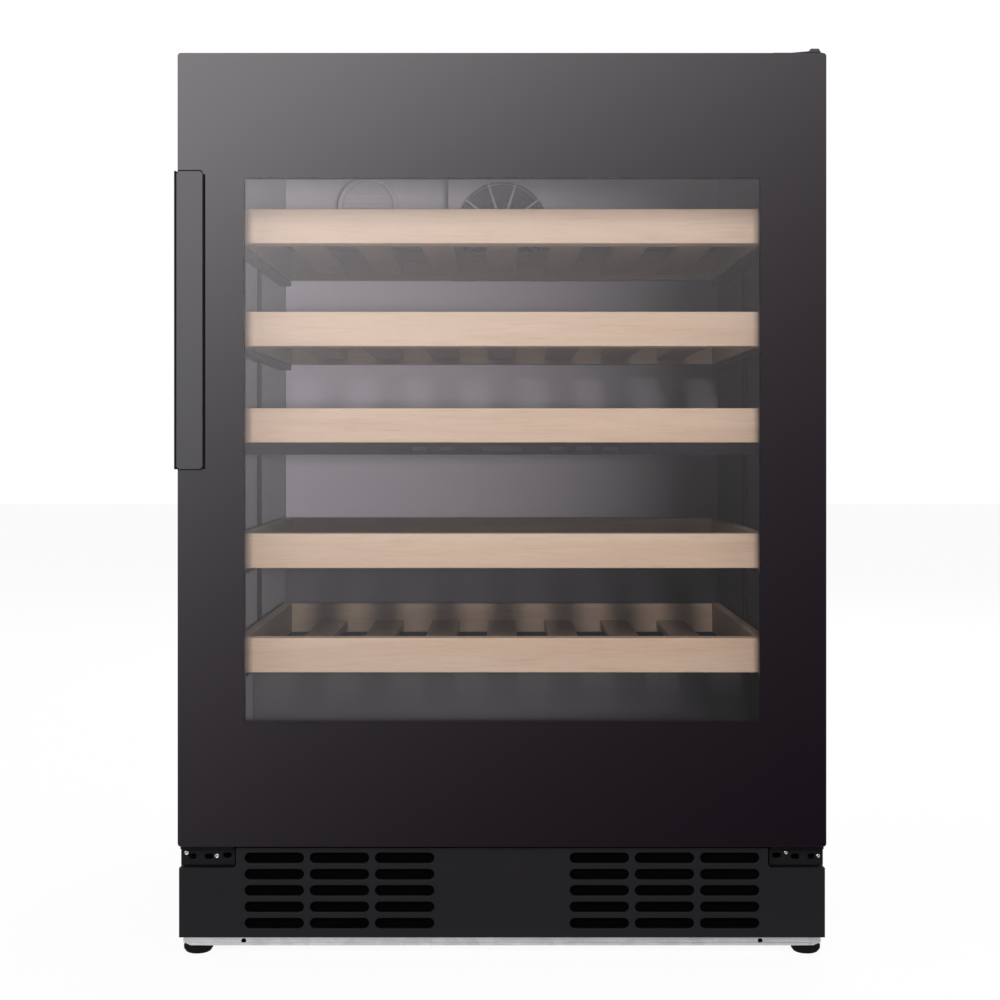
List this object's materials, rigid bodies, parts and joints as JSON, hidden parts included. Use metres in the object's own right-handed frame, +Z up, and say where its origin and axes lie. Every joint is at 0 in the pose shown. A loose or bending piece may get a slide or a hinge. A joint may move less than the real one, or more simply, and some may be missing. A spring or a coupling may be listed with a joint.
{
  "type": "wine cooler",
  "caption": "Under-counter wine cooler with a black framed glass door on right-hand hinges, an edge bar handle, slatted wooden pull-out shelves, a zone divider and a slotted air grille.",
  "frame": {"origin": "centre of the bounding box's footprint, at floor level under the feet", "axes": "+Z up, -Y out of the glass door towards the user, +X to the right of a person who faces the door"},
  "size_m": [0.595, 0.593, 0.8368],
  "materials": {
    "black_steel": "satin",
    "zinc_steel": "satin",
    "black_plastic": "satin",
    "satin_black": "satin",
    "panel_plastic": "satin",
    "gloss_black": "gloss",
    "black_glass": "gloss",
    "clear_glass": "gloss",
    "beech": "satin",
    "rubber": "matte",
    "foam": "matte",
    "grey_plastic": "satin",
    "light_diffuser": "satin",
    "circuit_board": "satin",
    "aluminium": "satin"
  },
  "bodies": {
    "cabinet": {"cabinet_wrap": "black_steel", "lower_hinge_bracket": "black_steel", "spare_hinge_bracket": "black_steel", "upper_hinge_plate": "black_steel", "compressor": "black_steel", "back_panel": "zinc_steel", "rear_cover": "zinc_steel", "base_plate": "zinc_steel", "inner_liner": "black_plastic", "air_duct_cover": "black_plastic", "fan_cover": "black_plastic", "left_upper_ledges": "black_plastic", "left_lower_ledges": "black_plastic", "right_upper_ledges": "black_plastic", "right_lower_ledges": "black_plastic", "zone_divider": "black_plastic", "upper_hinge_cap": "black_plastic", "cooling_fan_frame": "black_plastic", "power_inlet": "black_plastic", "front_grille": "panel_plastic", "control_strip": "gloss_black", "display_window": "gloss_black", "insulation_foam": "foam", "fan_motor": "grey_plastic", "drip_tray": "grey_plastic", "upper_light_bar": "light_diffuser", "lower_light_bar": "light_diffuser", "control_board": "circuit_board", "evaporator_plate": "aluminium", "condenser": "aluminium"},
    "door": {"door_outer_glass": "black_glass", "door_frame": "black_plastic", "glazing_spacer": "gloss_black", "door_inner_glass": "clear_glass", "door_gasket": "rubber", "handle": "satin_black"},
    "fan_rotor": {"fan_rotor": "black_plastic"},
    "cooling_fan_rotor": {"cooling_fan_rotor": "black_plastic"},
    "filter_cap": {"filter_cap": "black_plastic"},
    "shelf_1": {"shelf_1_front": "beech", "shelf_1_tray": "beech"},
    "shelf_2": {"shelf_2_front": "beech", "shelf_2_tray": "beech"},
    "shelf_3": {"shelf_3_front": "beech", "shelf_3_tray": "beech"},
    "shelf_4": {"shelf_4_front": "beech", "shelf_4_tray": "beech"},
    "shelf_5": {"shelf_5_front": "beech", "shelf_5_tray": "beech"},
    "power_button": {"power_button": "gloss_black"},
    "light_button": {"light_button": "gloss_black"},
    "zone_button": {"zone_button": "gloss_black"},
    "cooler_button": {"cooler_button": "gloss_black"},
    "warmer_button": {"warmer_button": "gloss_black"},
    "front_left_foot": {"front_left_foot": "rubber"},
    "front_right_foot": {"front_right_foot": "rubber"},
    "rear_left_foot": {"rear_left_foot": "rubber"},
    "rear_right_foot": {"rear_right_foot": "rubber"}
  },
  "joints": [
    {"name": "door_hinge", "type": "hinge", "parent": "cabinet", "child": "door", "pos_m": [0.288, -0.2555, 0.466], "axis": [0, 0, 1], "range_deg": [0, 110]},
    {"name": "shelf_1_slide", "type": "slide", "parent": "cabinet", "child": "shelf_1", "axis": [0, -1, 0], "range_m": [0, 0.0965]},
    {"name": "shelf_2_slide", "type": "slide", "parent": "cabinet", "child": "shelf_2", "axis": [0, -1, 0], "range_m": [0, 0.0965]},
    {"name": "shelf_3_slide", "type": "slide", "parent": "cabinet", "child": "shelf_3", "axis": [0, -1, 0], "range_m": [0, 0.0965]},
    {"name": "shelf_4_slide", "type": "slide", "parent": "cabinet", "child": "shelf_4", "axis": [0, -1, 0], "range_m": [0, 0.0965]},
    {"name": "shelf_5_slide", "type": "slide", "parent": "cabinet", "child": "shelf_5", "axis": [0, -1, 0], "range_m": [0, 0.0965]},
    {"name": "fan_spin", "type": "hinge", "parent": "cabinet", "child": "fan_rotor", "pos_m": [0, 0.1985, 0.731], "axis": [0, 1, 0], "continuous": true},
    {"name": "cooling_fan_spin", "type": "hinge", "parent": "cabinet", "child": "cooling_fan_rotor", "pos_m": [-0.06, 0.0625, 0.105], "axis": [0, 1, 0], "continuous": true},
    {"name": "filter_cap_twist", "type": "hinge", "parent": "cabinet", "child": "filter_cap", "pos_m": [-0.16, 0.1995, 0.755], "axis": [0, 1, 0], "range_deg": [0, 90]},
    {"name": "power_press", "type": "slide", "parent": "cabinet", "child": "power_button", "axis": [0, 1, 0], "range_m": [0, 0.0008], "stiffness_N_per_m": 300, "springref_m": -0.0005},
    {"name": "light_press", "type": "slide", "parent": "cabinet", "child": "light_button", "axis": [0, 1, 0], "range_m": [0, 0.0008], "stiffness_N_per_m": 300, "springref_m": -0.0005},
    {"name": "zone_press", "type": "slide", "parent": "cabinet", "child": "zone_button", "axis": [0, 1, 0], "range_m": [0, 0.0008], "stiffness_N_per_m": 300, "springref_m": -0.0005},
    {"name": "cooler_press", "type": "slide", "parent": "cabinet", "child": "cooler_button", "axis": [0, 1, 0], "range_m": [0, 0.0008], "stiffness_N_per_m": 300, "springref_m": -0.0005},
    {"name": "warmer_press", "type": "slide", "parent": "cabinet", "child": "warmer_button", "axis": [0, 1, 0], "range_m": [0, 0.0008], "stiffness_N_per_m": 300, "springref_m": -0.0005},
    {"name": "front_left_foot_turn", "type": "hinge", "parent": "cabinet", "child": "front_left_foot", "pos_m": [-0.2827, -0.2505, 0.003], "axis": [0, 0, 1], "continuous": true},
    {"name": "front_right_foot_turn", "type": "hinge", "parent": "cabinet", "child": "front_right_foot", "pos_m": [0.2827, -0.2505, 0.003], "axis": [0, 0, 1], "continuous": true},
    {"name": "rear_left_foot_turn", "type": "hinge", "parent": "cabinet", "child": "rear_left_foot", "pos_m": [-0.2827, 0.2635, 0.003], "axis": [0, 0, 1], "continuous": true},
    {"name": "rear_right_foot_turn", "type": "hinge", "parent": "cabinet", "child": "rear_right_foot", "pos_m": [0.2827, 0.2635, 0.003], "axis": [0, 0, 1], "continuous": true}
  ],
  "couplings": [
    {"joint": "shelf_1_slide", "follows": "door_hinge", "m_per_rad": 0.05},
    {"joint": "shelf_2_slide", "follows": "door_hinge", "m_per_rad": 0.05},
    {"joint": "shelf_3_slide", "follows": "door_hinge", "m_per_rad": 0.05},
    {"joint": "shelf_4_slide", "follows": "door_hinge", "m_per_rad": 0.05},
    {"joint": "shelf_5_slide", "follows": "door_hinge", "m_per_rad": 0.05}
  ]
}
